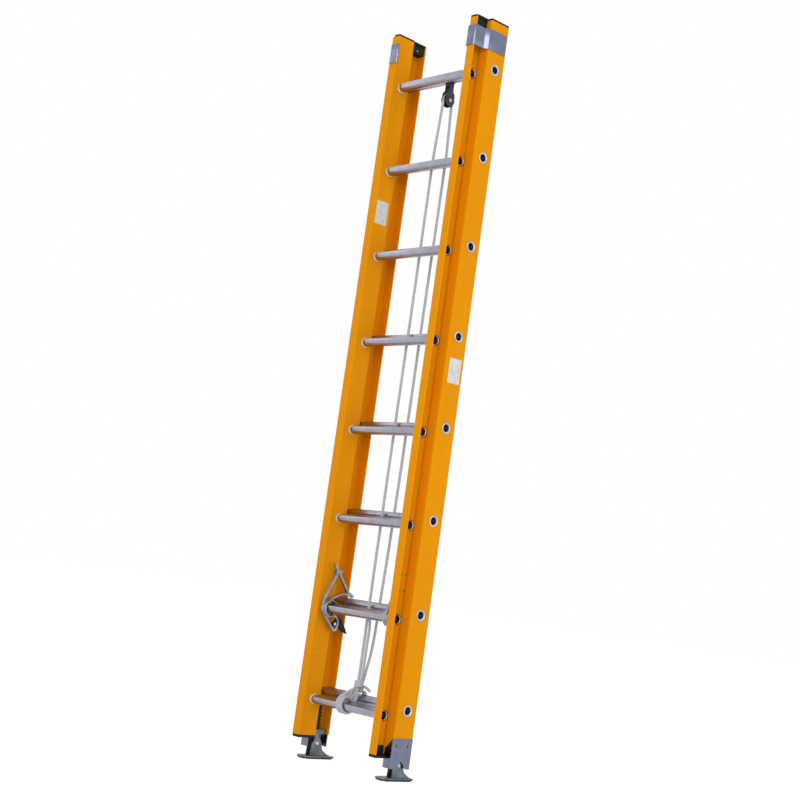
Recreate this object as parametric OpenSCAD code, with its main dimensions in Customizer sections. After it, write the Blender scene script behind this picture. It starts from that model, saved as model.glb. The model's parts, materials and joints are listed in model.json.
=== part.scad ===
// Two-section extension ladder with fibreglass rails, closed. Millimetres, +Z up.
// The fly section stands in front (-Y) of the base section and slides up it.

/* [Sections] */
// distance between rungs
rung_pitch = 304.8; // [280:0.1:310]
// height of the base section's lowest rung above the floor
base_rung_height = 223; // [200:1:260]
// how far the fly rungs sit below the base rungs when closed
fly_drop = 23; // [20:0.5:26]
// height of the base rails' lower ends above the floor
base_bottom = 81; // [78:0.5:90]
// height of the fly rails' lower ends above the floor
fly_bottom = 79; // [76:0.5:84]

/* [Rails] */
// outer width over the base rails
base_width = 449; // [440:1:470]
// how much narrower the fly webs stand than the base webs
nest = 91; // [89:0.5:94]
// rail wall thickness
wall = 4; // [3:0.5:4.5]
// width of the base rails' flanges
flange = 41; // [38:0.5:42]
// width of the fly rails' flanges
fly_flange = 34; // [32:0.5:37]
// depth of the fly rails
fly_depth = 75; // [70:0.5:75]
// depth of the base rails
base_depth = 84; // [80:0.5:90]
// outer corner radius of the rails
rail_corner = 5; // [3:0.5:6]

/* [Rungs] */
// width of a rung
rung_width = 41.5; // [36:0.5:42]
// height of a rung
rung_height = 29; // [26:0.5:30]
// rung wall thickness
rung_wall = 2.2; // [1.8:0.1:3]
// tilt of the flat step
rung_tilt = 14.5; // [10:0.5:16]
// distance between fly rungs and base rungs, front to back
rung_gap = 60; // [60:0.5:64]
// round end radius where a rung passes through the web
rung_end_r = 15; // [13:0.5:16]
// outer radius of the end rings
ring_r = 19.5; // [18:0.5:21]
// radius of the open hole in a rung end
rung_hole_r = 12; // [10:0.5:12]

/* [Feet] */
// height of the foot pivot above the floor
foot_pivot_height = 51; // [48:1:56]
// width of a foot plate
foot_width = 50; // [44:1:56]
// distance from the pivot to the toe
foot_toe = 66; // [55:1:72]
// distance from the pivot to the heel
foot_heel = 70; // [60:1:80]
// thickness of the rubber tread
pad_thickness = 6; // [4:0.5:8]

/* [Rope and pulley] */
// rope diameter
rope_diameter = 9.5; // [8:0.5:10]
// radius of the rope's centre line on the sheave
sheave_pitch_r = 19.5; // [18:0.5:22]
// sheave centre below the top base rung
sheave_drop = 75; // [70:1:85]
// sideways position of the rope
rope_x = 14; // [0:1:20]

// distance from a rung's axis back to the rope behind it
rope_behind = 29; // [28.5:0.5:31]
// length over which each strand leans in below the sheave
rope_lean = 150; // [120:1:180]
// length below the sheave where each strand runs straight
rope_straight = 200; // [185:1:240]

/* [Rung locks] */
// thickness of the lock casting
lock_width = 16; // [12:0.5:20]
// distance from the fly web to the middle of the lock
lock_aside = 17; // [15:0.5:24]

/* [Guide brackets] */
// height of the strap that guides the fly rail
bracket_height = 70; // [50:1:90]
// distance from the strap's upper edge to the base rail's top
bracket_below_top = 32; // [20:1:60]
// thickness of the strap
strap = 2.6; // [2:0.1:3]

/* [Plugs and rivets] */
// depth of the base rail's plug towards the ladder's middle
plug_depth = 34; // [28:0.5:36]
// clearance between the fly rail and the guide block
guide_clearance = 1; // [0.6:0.1:3]
// first pair of fly web rivets above the lowest rung
rivets_low = 142; // [120:1:150]
// distance between the rivets of that pair
rivets_low_gap = 26; // [20:1:40]
// second group of fly web rivets above the lowest rung
rivets_high = 398; // [360:1:410]
// distance between the rows of that group
rivets_high_gap = 50; // [40:1:70]

/* [Shoe brackets] */
// height of a shoe bracket
shoe_height = 96; // [80:1:110]
// height of its lower edge above the floor
shoe_low = 40; // [38:1:50]
// wall of a shoe bracket
shoe_wall = 3; // [2:0.5:4]

/* [Hidden] */
$fn = 64;
rung_count = 8;
rail_length = rung_count * rung_pitch;
fly_width = base_width - nest;

// the whole object is moved back by this to centre its depth
y_shift = -44.4;
cut = 1;
fly_y = y_shift;
base_y = y_shift + rung_gap;
fly_half = fly_width / 2;
base_half = base_width / 2;
fly_front = -38;
fly_rung_height = base_rung_height - fly_drop;
top_rung_z = base_rung_height + (rung_count - 1) * rung_pitch;
rung_core_r = rung_width / 2;
rung_core_up = rung_core_r - rung_height / 2;
plug_gap = 0.6;
lock_x = fly_half - wall - lock_aside;
orange = [0.91, 0.58, 0.04];
alloy = [0.62, 0.64, 0.68];
black = [0.06, 0.06, 0.07];
dark = [0.3, 0.33, 0.36];
cord = [0.86, 0.86, 0.9];

// ---- shared shapes ----

// rectangle with round corners, centred
module round_rect(w, d, r) {
  square([w - 2 * r, d], center = true);
  square([w, d - 2 * r], center = true);
  for (sx = [-1, 1], sy = [-1, 1])
    translate([sx * (w / 2 - r), sy * (d / 2 - r)]) circle(r = r);
}

// channel open towards -X; its web's outer face is at x = 0
module channel(w, d, t, r) {
  difference() {
    translate([-w, 0]) intersection() {
      round_rect(2 * w, d, r);
      translate([0, -d]) square([2 * w, 2 * d]);
    }
    translate([-w - t, 0]) round_rect(2 * w, d - 2 * t, max(r - t, 1.5));
  }
}

// D section of a rung, flat step up, centred on the rung's axis
module rung_section(shrink) {
  rotate(rung_tilt) intersection() {
    translate([0, rung_core_up]) circle(r = rung_core_r - shrink);
    translate([-rung_width, -rung_width]) square([2 * rung_width, rung_width + rung_height / 2 - shrink]);
  }
}

// lies a YZ outline along X, from x0 over a length
module along_x(x0, len) {
  translate([x0, 0, 0]) rotate([90, 0, 90]) linear_extrude(len) children();
}

// round bar along X
module bar_x(x0, len, r) {
  translate([x0, 0, 0]) rotate([0, 90, 0]) cylinder(r = r, h = len);
}

// ring along X
module ring_x(x0, len, r_out, r_in) {
  translate([x0, 0, 0]) rotate([0, 90, 0]) difference() {
    cylinder(r = r_out, h = len);
    translate([0, 0, -cut]) cylinder(r = r_in, h = len + 2 * cut);
  }
}

// tube swept along a list of points, closed at both ends
sides = 10;
function unit(v) = v / norm(v);
function bend_dir(p, i) =
  i == 0 ? unit(p[1] - p[0]) :
  i == len(p) - 1 ? unit(p[i] - p[i - 1]) :
  unit(unit(p[i] - p[i - 1]) + unit(p[i + 1] - p[i]));
function side_dir(t, s) = unit(s - (s * t) * t);
function carry(p, i, s) = i == 0 ? [side_dir(bend_dir(p, 0), s)] :
  let (before = carry(p, i - 1, s)) concat(before, [side_dir(bend_dir(p, i), before[i - 1])]);
module tube(p, r, start = [1, 0, 0]) {
  frames = carry(p, len(p) - 1, start);
  pts = [for (i = [0 : len(p) - 1]) let (t = bend_dir(p, i), u = frames[i], v = cross(t, u))
    for (k = [0 : sides - 1]) p[i] + r * (cos(k * 360 / sides) * u + sin(k * 360 / sides) * v)];
  walls = [for (i = [0 : len(p) - 2]) for (k = [0 : sides - 1])
    [i * sides + k, (i + 1) * sides + k, (i + 1) * sides + (k + 1) % sides, i * sides + (k + 1) % sides]];
  last = (len(p) - 1) * sides;
  polyhedron(pts, concat(walls,
    [[for (k = [0 : sides - 1]) k]],
    [[for (k = [sides - 1 : -1 : 0]) last + k]]), convexity = 8);
}

// ---- rails ----

module web_holes(x0, first_z) {
  for (k = [0 : rung_count - 1])
    translate([x0, 0, first_z + k * rung_pitch]) rotate([0, 90, 0])
      cylinder(r = rung_end_r, h = wall + 2 * cut);
}

// right base rail, web outside, flanges pointing in
module base_rail() {
  color(orange) translate([0, base_y, 0]) difference() {
    translate([base_half, 0, base_bottom]) linear_extrude(rail_length)
      channel(flange, base_depth, wall, rail_corner);
    web_holes(base_half - wall - cut, base_rung_height);
  }
}

// right fly rail, web inside, flanges pointing out
module fly_rail() {
  color(orange) translate([0, fly_y, 0]) difference() {
    translate([fly_half - wall, fly_front + fly_depth / 2, fly_bottom]) linear_extrude(rail_length)
      mirror([1, 0]) channel(fly_flange, fly_depth, wall, rail_corner);
    web_holes(fly_half - wall - cut, fly_rung_height);
  }
}

// ---- rungs ----

// half is the distance to the web's outer face
module rung(half, y, z) {
  inner = half - wall;
  color(alloy) translate([0, y, z]) difference() {
    union() {
      along_x(-inner + 6, 2 * inner - 12) rung_section(0);
      for (s = [-1, 1]) mirror([s < 0 ? 1 : 0, 0, 0]) {
        bar_x(inner - 6.5, 6.5, rung_core_r - 1);
        bar_x(inner - 1, wall + 1, rung_end_r);
      }
    }
    along_x(-inner + 12, 2 * inner - 24) rung_section(rung_wall);
    bar_x(-half - cut, 2 * half + 2 * cut, rung_hole_r);
  }
}

// flared rings that clinch the rung ends on the webs
module rings(half, y, z) {
  color(alloy) for (k = [0 : rung_count - 1], s = [-1, 1])
    translate([0, y, z + k * rung_pitch]) mirror([s < 0 ? 1 : 0, 0, 0]) {
      ring_x(half, 1.5, ring_r, rung_hole_r);
      translate([half + 1.5, 0, 0]) rotate([0, 90, 0]) difference() {
        cylinder(r1 = ring_r, r2 = ring_r - 2, h = 1.5);
        translate([0, 0, -cut]) cylinder(r = rung_hole_r, h = 1.5 + 2 * cut);
      }
    }
}

// ---- end caps and guides ----

cap_height = 31;
plug_front = 14;
cap_lip = 7;
plug_wall = 9;

// plug in the top of the right base rail
module base_cap() {
  color(black) translate([0, base_y, base_bottom + rail_length]) union() {
    translate([base_half, 0, 0]) linear_extrude(cap_lip) difference() {
      translate([-flange, 0]) intersection() {
        round_rect(2 * flange, base_depth, rail_corner);
        translate([0, -base_depth]) square(2 * base_depth);
      }
      translate([-flange - cut, -base_depth / 2 + wall]) square([flange - 6 + cut, 16.5]);
    }
    translate([base_half - wall - plug_depth, -plug_front, -cap_height])
      cube([plug_depth - plug_gap, base_depth / 2 + plug_front - wall - plug_gap, cap_height]);
  }
}

// slot in the fly's end pieces that the base rail's front flange runs through
slot_y = 16;
shoe_slot_y = 13.5;
module fly_end(lip, from_y) {
  linear_extrude(lip) difference() {
    translate([fly_half - wall, 0]) intersection() {
      translate([fly_flange, 0]) round_rect(2 * fly_flange, fly_depth, rail_corner);
      translate([0, -fly_depth]) square([fly_flange, 2 * fly_depth]);
    }
    translate([fly_half + 2.5, from_y]) square([fly_flange, 24 - from_y]);
  }
}

fly_plug = 40;
fly_plug_w = 26;
// plug in the top of the right fly rail
module fly_cap() {
  mid = fly_front + fly_depth / 2;
  color(black) translate([0, fly_y + mid, fly_bottom + rail_length]) union() {
    fly_end(cap_lip, slot_y);
    translate([fly_half + plug_gap, -fly_depth / 2 + wall + plug_gap, -fly_plug])
      cube([fly_plug_w, fly_depth / 2 - wall - plug_gap + slot_y, fly_plug]);
  }
}

// plug and skid on the bottom of the right fly rail
skid = 9;
module fly_shoe() {
  mid = fly_front + fly_depth / 2;
  color(black) translate([0, fly_y + mid, fly_bottom]) union() {
    translate([0, 0, -skid]) fly_end(skid, shoe_slot_y);
    translate([fly_half + plug_gap, -fly_depth / 2 + wall + plug_gap, 0])
      cube([plug_wall, fly_depth / 2 - wall - plug_gap + shoe_slot_y, 28]);
  }
}

guide_w = 32;
guide_d = 24;
guide_h = 84;
guide_up = 16;
guide_wall = 6;
guide_y = fly_y - base_y + fly_front + fly_depth + guide_clearance;
// block inside the base rail's foot that the fly rail runs along
module guide_block() {
  color(black) translate([0, base_y, base_bottom]) difference() {
    translate([base_half - wall - guide_w, guide_y, guide_up]) cube([guide_w, guide_d, guide_h]);
    translate([base_half - wall - guide_w + guide_wall, guide_y + guide_wall, guide_up - cut])
      cube([guide_w - 2 * guide_wall, guide_d - 2 * guide_wall, guide_h + 2 * cut]);
  }
}

// right upper guide bracket, one bent strap
bracket_high = base_bottom + rail_length - bracket_below_top;
bracket_low = bracket_high - bracket_height;
lip_depth = 5.5;
module guide_bracket() {
  lip = fly_half - wall - 0.6;
  front = fly_y + fly_front - 0.6;
  bend_x = fly_half - wall + fly_flange + 0.8;
  web_x = base_half;
  corner_y = base_y - base_depth / 2;
  rear_y = base_y + base_depth / 2 - 6;
  path = [
    [lip, front + lip_depth], [lip, front], [bend_x, front], [bend_x, corner_y - 14],
    [web_x - 2.5, corner_y - 0.8], [web_x + 0.01, corner_y + 4], [web_x, corner_y + 8], [web_x, rear_y],
    [web_x + strap, rear_y], [web_x + strap, corner_y + 4], [web_x + strap - 1.4, corner_y - 1.5],
    [bend_x + strap, corner_y - 15.5], [bend_x + strap, front - strap + 1.6],
    [bend_x + strap - 1.6, front - strap], [lip - strap + 1, front - strap], [lip - strap, front - strap + 1], [lip - strap, front + lip_depth]
  ];
  color(alloy) translate([0, 0, bracket_low]) linear_extrude(bracket_high - bracket_low) polygon(path);
}

module rivet_x(x, r, h) {
  translate([x, 0, 0]) rotate([0, 90, 0]) union() {
    cylinder(r = r, h = h / 2);
    translate([0, 0, h / 2]) cylinder(r1 = r, r2 = r * 0.6, h = h / 2);
  }
}

module guide_rivets() {
  color(alloy) for (s = [0, 1], z = [bracket_low + 16, bracket_high - 16], y = [base_y - 12, base_y + 22])
    mirror([s, 0, 0]) translate([0, y, z]) rivet_x(base_half + strap, 4.5, 2.4);
  color(alloy) for (s = [0, 1]) mirror([s, 0, 0])
    translate([base_half - wall - plug_depth, base_y + 4, base_bottom + rail_length - cap_height + 9])
      mirror([1, 0, 0]) rivet_x(0, 4.5, 2.4);
}

// ---- shoes and feet ----

shoe_high = shoe_low + shoe_height;
notch_top = 61;

// right shoe bracket: a channel round the base rail's end
module shoe_bracket() {
  r = rail_corner + shoe_wall;
  color(alloy) translate([0, base_y, 0]) difference() {
    translate([base_half + shoe_wall, 0, shoe_low]) linear_extrude(shoe_high - shoe_low) difference() {
      translate([-flange, 0]) intersection() {
        round_rect(2 * flange, base_depth + 2 * shoe_wall, r);
        translate([1.5, -base_depth]) square(2 * base_depth);
      }
      translate([-flange - shoe_wall, 0]) round_rect(2 * flange, base_depth, rail_corner);
    }
    along_x(base_half - 8, 20) polygon([[-24, shoe_low - cut], [0, notch_top + 3], [24, shoe_low - cut]]);
    translate([0, -base_depth / 2 - 2 * shoe_wall, 0]) rotate([90, 0, 0]) mirror([0, 0, 1])
      linear_extrude(4 * shoe_wall) polygon([
        [base_half - 60, shoe_high - 38], [base_half - 37, shoe_high - 38],
        [base_half + 1, shoe_high - 1], [base_half + 1, shoe_high + cut],
        [base_half - 60, shoe_high + cut]]);
  }
}

module shoe_rivets() {
  color(alloy) for (s = [0, 1], y = [-24, 24])
    mirror([s, 0, 0]) translate([0, base_y + y, shoe_high - 24]) rivet_x(base_half + shoe_wall, 4.5, 2.4);
}

// block in the base rail's end that carries the foot's pivot
module foot_yoke() {
  color(dark) translate([base_half - wall - 25, base_y, 0]) difference() {
    union() {
      translate([0, -11, foot_pivot_height]) cube([18, 22, base_bottom - foot_pivot_height + 1]);
      translate([0, -20, base_bottom]) cube([25 - plug_gap, 20 + base_depth / 2 - wall - plug_gap, 15]);
      translate([0, 0, foot_pivot_height]) rotate([0, 90, 0]) cylinder(r = 11, h = 18);
    }
    translate([-cut, 0, foot_pivot_height]) rotate([0, 90, 0]) cylinder(r = 5, h = 60);
  }
}

foot_x0 = base_half - 52;
ear_t = 3;
ear_in = base_half - wall - 25 - 1 - ear_t;
ear_out = base_half - wall - 25 + 18 + 0.6;
plate_t = 4;

// right foot: plate with a round toe and two ears
module foot_plate() {
  top = pad_thickness + plate_t;
  color(dark) translate([0, base_y, 0]) union() {
    translate([foot_x0 + foot_width / 2, 0, pad_thickness]) linear_extrude(plate_t) union() {
      translate([-foot_width / 2, -foot_toe + foot_width / 2])
        square([foot_width, foot_toe - foot_width / 2 + foot_heel]);
      translate([0, -foot_toe + foot_width / 2]) circle(r = foot_width / 2);
    }
    translate([ear_in + 1, -20, top - 1]) cube([ear_out - ear_in, 18, foot_pivot_height - 12 - top]);
    for (x = [ear_in, ear_out]) difference() {
      along_x(x, ear_t) union() {
        translate([0, foot_pivot_height]) circle(r = 17);
        polygon([
          [-22, top - 1], [-20, foot_pivot_height - 4], [-13, foot_pivot_height + 9],
          [0, foot_pivot_height + 8], [15, foot_pivot_height + 8],
          [28, foot_pivot_height - 22], [50, top + 5], [foot_heel - 1, top - 1]]);
      }
      translate([x - cut, 0, foot_pivot_height]) rotate([0, 90, 0]) cylinder(r = 5.05, h = ear_t + 2 * cut);
    }
  }
}

// grooved rubber tread under the right foot
module foot_pad() {
  color(black) translate([0, base_y, 0]) difference() {
    translate([foot_x0 + foot_width / 2, 0, 0]) linear_extrude(pad_thickness) union() {
      translate([-foot_width / 2 + 1, -foot_toe + foot_width / 2])
        square([foot_width - 2, foot_toe - foot_width / 2 + foot_heel - 3]);
      translate([0, -foot_toe + foot_width / 2]) circle(r = foot_width / 2 - 1);
    }
    for (i = [-5 : 6]) translate([foot_x0 - cut, i * 10, -cut]) cube([foot_width + 2 * cut, 3, 3]);
  }
}

module foot_pins() {
  color(alloy) for (s = [0, 1]) mirror([s, 0, 0]) translate([0, base_y, foot_pivot_height]) union() {
    bar_x(ear_in - 0.6, ear_out + ear_t + 1.2 - ear_in, 4.98);
    translate([ear_in - 3.6, 0, 0]) rotate([0, 90, 0]) cylinder(r1 = 6, r2 = 8, h = 3);
    bar_x(ear_out + ear_t + 0.6, 2, 7);
  }
}

// ---- pulley ----

sheave_z = top_rung_z - sheave_drop;
sheave_r = 23;
sheave_w = 13;

// strap over the top base rung with two cheeks holding the sheave
module pulley_hanger() {
  color(dark) translate([rope_x, base_y, 0]) difference() {
    union() {
      translate([0, 0, top_rung_z]) along_x(-9, 18) rung_section(-2.5);
      for (x = [-11, 8]) along_x(x, 3) union() {
        translate([-10, sheave_z]) square([20, sheave_drop - 14]);
        translate([0, sheave_z]) circle(r = 21);
        translate([-19, sheave_z]) square([38, 16]);
        translate([0, sheave_z + 16]) circle(r = 19.2);
      }
      translate([-11, -10, top_rung_z - 26]) cube([22, 20, 12]);
    }
    translate([0, 0, top_rung_z]) along_x(-20, 40) rung_section(0);
    translate([-20, 0, sheave_z]) rotate([0, 90, 0]) cylinder(r = 4, h = 40);
  }
}

module pulley_sheave() {
  color(black) translate([rope_x, base_y, sheave_z]) rotate([0, 90, 0]) difference() {
    rotate_extrude() difference() {
      translate([0, -sheave_w / 2]) square([sheave_r + 0.5, sheave_w]);
      translate([sheave_pitch_r + 0.3, 0]) circle(r = rope_diameter / 2 + 0.6);
      translate([sheave_pitch_r, -rope_diameter / 2 - 0.6]) square([10, rope_diameter + 1.2]);
    }
    translate([0, 0, -sheave_w]) cylinder(r = 4.05, h = 2 * sheave_w);
  }
}

module pulley_pin() {
  color(alloy) translate([rope_x, base_y, sheave_z]) union() {
    bar_x(-11, 22, 4);
    bar_x(-13.5, 2.5, 6.5);
    bar_x(11, 2.5, 6.5);
  }
}

// ---- rope ----

rope_r = rope_diameter / 2;
lift_top = sheave_z;
lift_low = fly_rung_height + 40;
// strand between the sections, from the sheave down to the fly's lowest rung
lift_route = [
  [rope_x, base_y - sheave_pitch_r, lift_top], [rope_x, y_shift + 39, lift_top - 20],
  [rope_x, fly_y + rope_behind + 3.5, lift_top - rope_lean],
  [rope_x, fly_y + rope_behind + 1, lift_top - rope_straight],
  [rope_x, fly_y + rope_behind, 1600], [10, fly_y + rope_behind, 900], [8, fly_y + rope_behind, lift_low]
];
// over the sheave and down behind the base rungs to the lowest one
haul_route = concat(
  [for (a = [180 : -20 : 0])
    [rope_x, base_y + sheave_pitch_r * cos(a), sheave_z + sheave_pitch_r * sin(a)]],
  [[rope_x, base_y + sheave_pitch_r + 1, sheave_z - 20],
  [rope_x, base_y + rope_behind - 2, sheave_z - rope_lean],
  [rope_x, base_y + rope_behind, sheave_z - rope_straight], [10, base_y + rope_behind, 1600],
  [4, base_y + rope_behind, 900], [-6, base_y + rope_behind - 1, 520], [-10, base_y + rope_behind - 3, 400],
  [-13, base_y + 14, 310], [-14, base_y + 4, 262], [-14, base_y + 0, 250]]
);
module rope_lift() { color(cord) tube(lift_route, rope_r); }
module rope_haul() { color(cord) tube(haul_route, rope_r); }

// turns around a rung from x on, seen along X; way is -1 when it goes down behind the rung first
function turn(x, y, z, r, a0, a1, way, spread) =
  [for (a = [a0 : 40 : a1])
    [x + spread * (a - a0) / 360, y - 1.56 + r * cos(a), z + 6.05 + way * r * sin(a)]];
turn_spread = 10.3;
wrap_r = rung_core_r + rope_r + 1.9;
module rope_fly_knot() {
  color(cord) union() {
    tube(concat(
      [[8, fly_y + rope_behind + 0.2, lift_low - 0.3], [8, fly_y + rope_behind, fly_rung_height + 22]],
      turn(8, fly_y, fly_rung_height, wrap_r, 0, 960, -1, -turn_spread)), rope_r);
  }
}
module rope_base_hitch() {
  color(cord) union() {
    tube(turn(-24, base_y, base_rung_height, wrap_r, 60, 780, 1, turn_spread), rope_r);
    translate([-14, base_y + 2, base_rung_height + 33]) sphere(r = 9.5);
  }
}

// ---- rung locks ----

lock_z = fly_rung_height + rung_pitch;
hub_r = 29.5;
bore_r = 24.6;

module stroke(a, b, w) {
  d = b - a;
  translate(a) rotate(atan2(d[1], d[0])) translate([0, -w / 2]) square([norm(d), w]);
  translate(a) circle(r = w / 2 + 0.25);
  translate(b) circle(r = w / 2 + 0.25);
}

finger_y = 28;
finger_z = -50;

// flat outline of the lock's arms
module lock_arms() {
  stroke([-21, 16], [22, 118], 9);
  stroke([22, 118], [37, 114], 9);
  stroke([37, 114], [76, 61], 7.5);
  stroke([14, 26], [36, 46], 8);
  stroke([36, 46], [80, 52], 7);
  stroke([22, 118], [10, 134], 8);
  stroke([10, 134], [-2, 146], 8);
  stroke([-2, 146], [-9, 141], 7);
  stroke([33, 112], [33, 131], 6);
  stroke([-19, -16], [0, -42], 9);
  stroke([0, -42], [15, -53], 9);
}

// right lock casting, swinging on the second fly rung; a fork holds the finger
module lock_casting() {
  arm_in = 3;
  cheek = 3;
  color(alloy) translate([lock_x - lock_width / 2, fly_y, lock_z]) rotate([90, 0, 90]) difference() {
    union() {
      cylinder(r = hub_r, h = lock_width);
      translate([0, 0, arm_in]) linear_extrude(lock_width - 2 * arm_in) lock_arms();
      linear_extrude(lock_width) polygon([[69, 62], [80, 65], [99, 47], [97, 44.2], [79, 44], [72, 49]]);
      linear_extrude(cheek + 1) stroke([12, -52], [finger_y, finger_z], 11);
      translate([0, 0, lock_width - cheek - 1]) linear_extrude(cheek + 1)
        stroke([12, -52], [finger_y, finger_z], 11);
    }
    translate([0, 0, -cut]) cylinder(r = bore_r, h = lock_width + 2 * cut);
    translate([finger_y, finger_z, cheek]) cylinder(r = 7.4, h = lock_width - 2 * cheek);
    translate([finger_y, finger_z, -cut]) cylinder(r = 3.02, h = lock_width + 2 * cut);
  }
}

// black finger that hangs on the lock's lower arm
module lock_finger() {
  color(black) translate([lock_x - 4, fly_y, lock_z]) rotate([90, 0, 90]) linear_extrude(8) difference() {
    union() {
      translate([finger_y, finger_z]) circle(r = 6);
      stroke([finger_y, finger_z], [30, -64], 9);
      stroke([30, -64], [32.5, -90], 7);
    }
    translate([finger_y, finger_z]) circle(r = 3.05);
  }
}

module lock_pin() {
  color(alloy) translate([lock_x, fly_y + finger_y, lock_z + finger_z]) union() {
    bar_x(-lock_width / 2, lock_width, 3);
    bar_x(-lock_width / 2 - 2, 2, 5);
    bar_x(lock_width / 2, 2, 5);
  }
}

// coils beside the hub that hold the lock down
module lock_spring() {
  wire_r = 1.3;
  color(alloy) for (i = [0 : 2])
    translate([lock_x - lock_width / 2 - 1.7 - 2.9 * i, fly_y, lock_z]) rotate([0, 90, 0])
      rotate_extrude() translate([26.4, 0]) circle(r = wire_r, $fn = 24);
}

// rivet heads on the fly webs
module fly_rivets() {
  inner_z = [for (up = [rivets_low, rivets_low + rivets_low_gap]) fly_rung_height + up];
  outer_z = [for (up = [rivets_high, rivets_high + rivets_high_gap]) fly_rung_height + up];
  color(alloy) for (s = [0, 1]) mirror([s, 0, 0]) {
    for (z = inner_z) translate([fly_half - wall, fly_y - 8, z]) mirror([1, 0, 0]) rivet_x(0, 3.2, 1.2);
    for (z = outer_z, y = [-4, 12]) translate([fly_half, fly_y + y, z]) rivet_x(0, 3.2, 1.2);
  }
}

// ---- the object ----

module left() { mirror([1, 0, 0]) children(); }

left() base_rail();  // base_rail_left
base_rail();  // base_rail_right
left() fly_rail();  // fly_rail_left
fly_rail();  // fly_rail_right
rung(base_half, base_y, base_rung_height);  // base_rung_1
rung(base_half, base_y, base_rung_height + rung_pitch);  // base_rung_2
rung(base_half, base_y, base_rung_height + 2 * rung_pitch);  // base_rung_3
rung(base_half, base_y, base_rung_height + 3 * rung_pitch);  // base_rung_4
rung(base_half, base_y, base_rung_height + 4 * rung_pitch);  // base_rung_5
rung(base_half, base_y, base_rung_height + 5 * rung_pitch);  // base_rung_6
rung(base_half, base_y, base_rung_height + 6 * rung_pitch);  // base_rung_7
rung(base_half, base_y, base_rung_height + 7 * rung_pitch);  // base_rung_8
rung(fly_half, fly_y, fly_rung_height);  // fly_rung_1
rung(fly_half, fly_y, fly_rung_height + rung_pitch);  // fly_rung_2
rung(fly_half, fly_y, fly_rung_height + 2 * rung_pitch);  // fly_rung_3
rung(fly_half, fly_y, fly_rung_height + 3 * rung_pitch);  // fly_rung_4
rung(fly_half, fly_y, fly_rung_height + 4 * rung_pitch);  // fly_rung_5
rung(fly_half, fly_y, fly_rung_height + 5 * rung_pitch);  // fly_rung_6
rung(fly_half, fly_y, fly_rung_height + 6 * rung_pitch);  // fly_rung_7
rung(fly_half, fly_y, fly_rung_height + 7 * rung_pitch);  // fly_rung_8
rings(base_half, base_y, base_rung_height);  // base_rings
rings(fly_half, fly_y, fly_rung_height);  // fly_rings
left() base_cap();  // base_cap_left
base_cap();  // base_cap_right
left() fly_cap();  // fly_cap_left
fly_cap();  // fly_cap_right
left() fly_shoe();  // fly_shoe_left
fly_shoe();  // fly_shoe_right
left() guide_block();  // guide_block_left
guide_block();  // guide_block_right
left() guide_bracket();  // guide_bracket_left
guide_bracket();  // guide_bracket_right
guide_rivets();
left() shoe_bracket();  // shoe_bracket_left
shoe_bracket();  // shoe_bracket_right
shoe_rivets();
left() foot_yoke();  // foot_yoke_left
foot_yoke();  // foot_yoke_right
left() foot_plate();  // foot_plate_left
foot_plate();  // foot_plate_right
left() foot_pad();  // foot_pad_left
foot_pad();  // foot_pad_right
foot_pins();
pulley_hanger();
pulley_sheave();
pulley_pin();
rope_lift();
rope_haul();
rope_fly_knot();
rope_base_hitch();
left() lock_casting();  // lock_left
lock_casting();  // lock_right
left() lock_spring();  // lock_spring_left
lock_spring();  // lock_spring_right
left() lock_finger();  // lock_finger_left
lock_finger();  // lock_finger_right
left() lock_pin();  // lock_pin_left
lock_pin();  // lock_pin_right
fly_rivets();
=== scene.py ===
import bpy
import bmesh
import json
import math
from mathutils import Matrix, Vector


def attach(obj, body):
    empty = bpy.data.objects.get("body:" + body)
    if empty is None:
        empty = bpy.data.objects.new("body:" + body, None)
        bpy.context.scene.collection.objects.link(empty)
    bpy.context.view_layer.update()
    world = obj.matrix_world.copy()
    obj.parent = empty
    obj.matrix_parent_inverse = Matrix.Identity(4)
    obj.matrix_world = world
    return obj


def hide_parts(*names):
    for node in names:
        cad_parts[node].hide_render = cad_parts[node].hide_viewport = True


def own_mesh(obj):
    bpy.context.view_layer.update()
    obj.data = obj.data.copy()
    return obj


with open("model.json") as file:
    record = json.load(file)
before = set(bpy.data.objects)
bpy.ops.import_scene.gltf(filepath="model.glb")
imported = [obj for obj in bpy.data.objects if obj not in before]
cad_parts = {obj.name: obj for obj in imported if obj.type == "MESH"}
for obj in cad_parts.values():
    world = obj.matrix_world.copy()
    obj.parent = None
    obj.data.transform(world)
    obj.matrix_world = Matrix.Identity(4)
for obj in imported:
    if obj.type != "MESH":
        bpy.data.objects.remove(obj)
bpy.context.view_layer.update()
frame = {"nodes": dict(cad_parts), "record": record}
print("frame loaded")

# where the two sections stand, in metres; y values of the fly rail's faces are from its rung line
ladder = {
    "pitch": 0.3048, "rungs": 8, "railLength": 2.4384, "wall": 0.004,
    "baseY": 0.0156, "baseRung": 0.223, "baseHalf": 0.2245, "baseBottom": 0.081,
    "baseDeep": 0.042, "flange": 0.041,
    "flyY": -0.0444, "flyRung": 0.200, "flyHalf": 0.179, "flyBottom": 0.079,
    "flyFront": -0.038, "flyRear": 0.037, "flyFlange": 0.034,
}
baseY, baseHalf = ladder["baseY"], ladder["baseHalf"]
baseFront, baseRear = baseY - ladder["baseDeep"], baseY + ladder["baseDeep"]
baseTop = ladder["baseBottom"] + ladder["railLength"]
flyY, flyHalf = ladder["flyY"], ladder["flyHalf"]
flyFront, flyRear = flyY + ladder["flyFront"], flyY + ladder["flyRear"]
flyTop = ladder["flyBottom"] + ladder["railLength"]
flyWeb = flyHalf - ladder["wall"]  # inner face of the fly rail's web
flyTip = flyWeb + ladder["flyFlange"]
topRung = ladder["baseRung"] + (ladder["rungs"] - 1) * ladder["pitch"]

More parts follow.
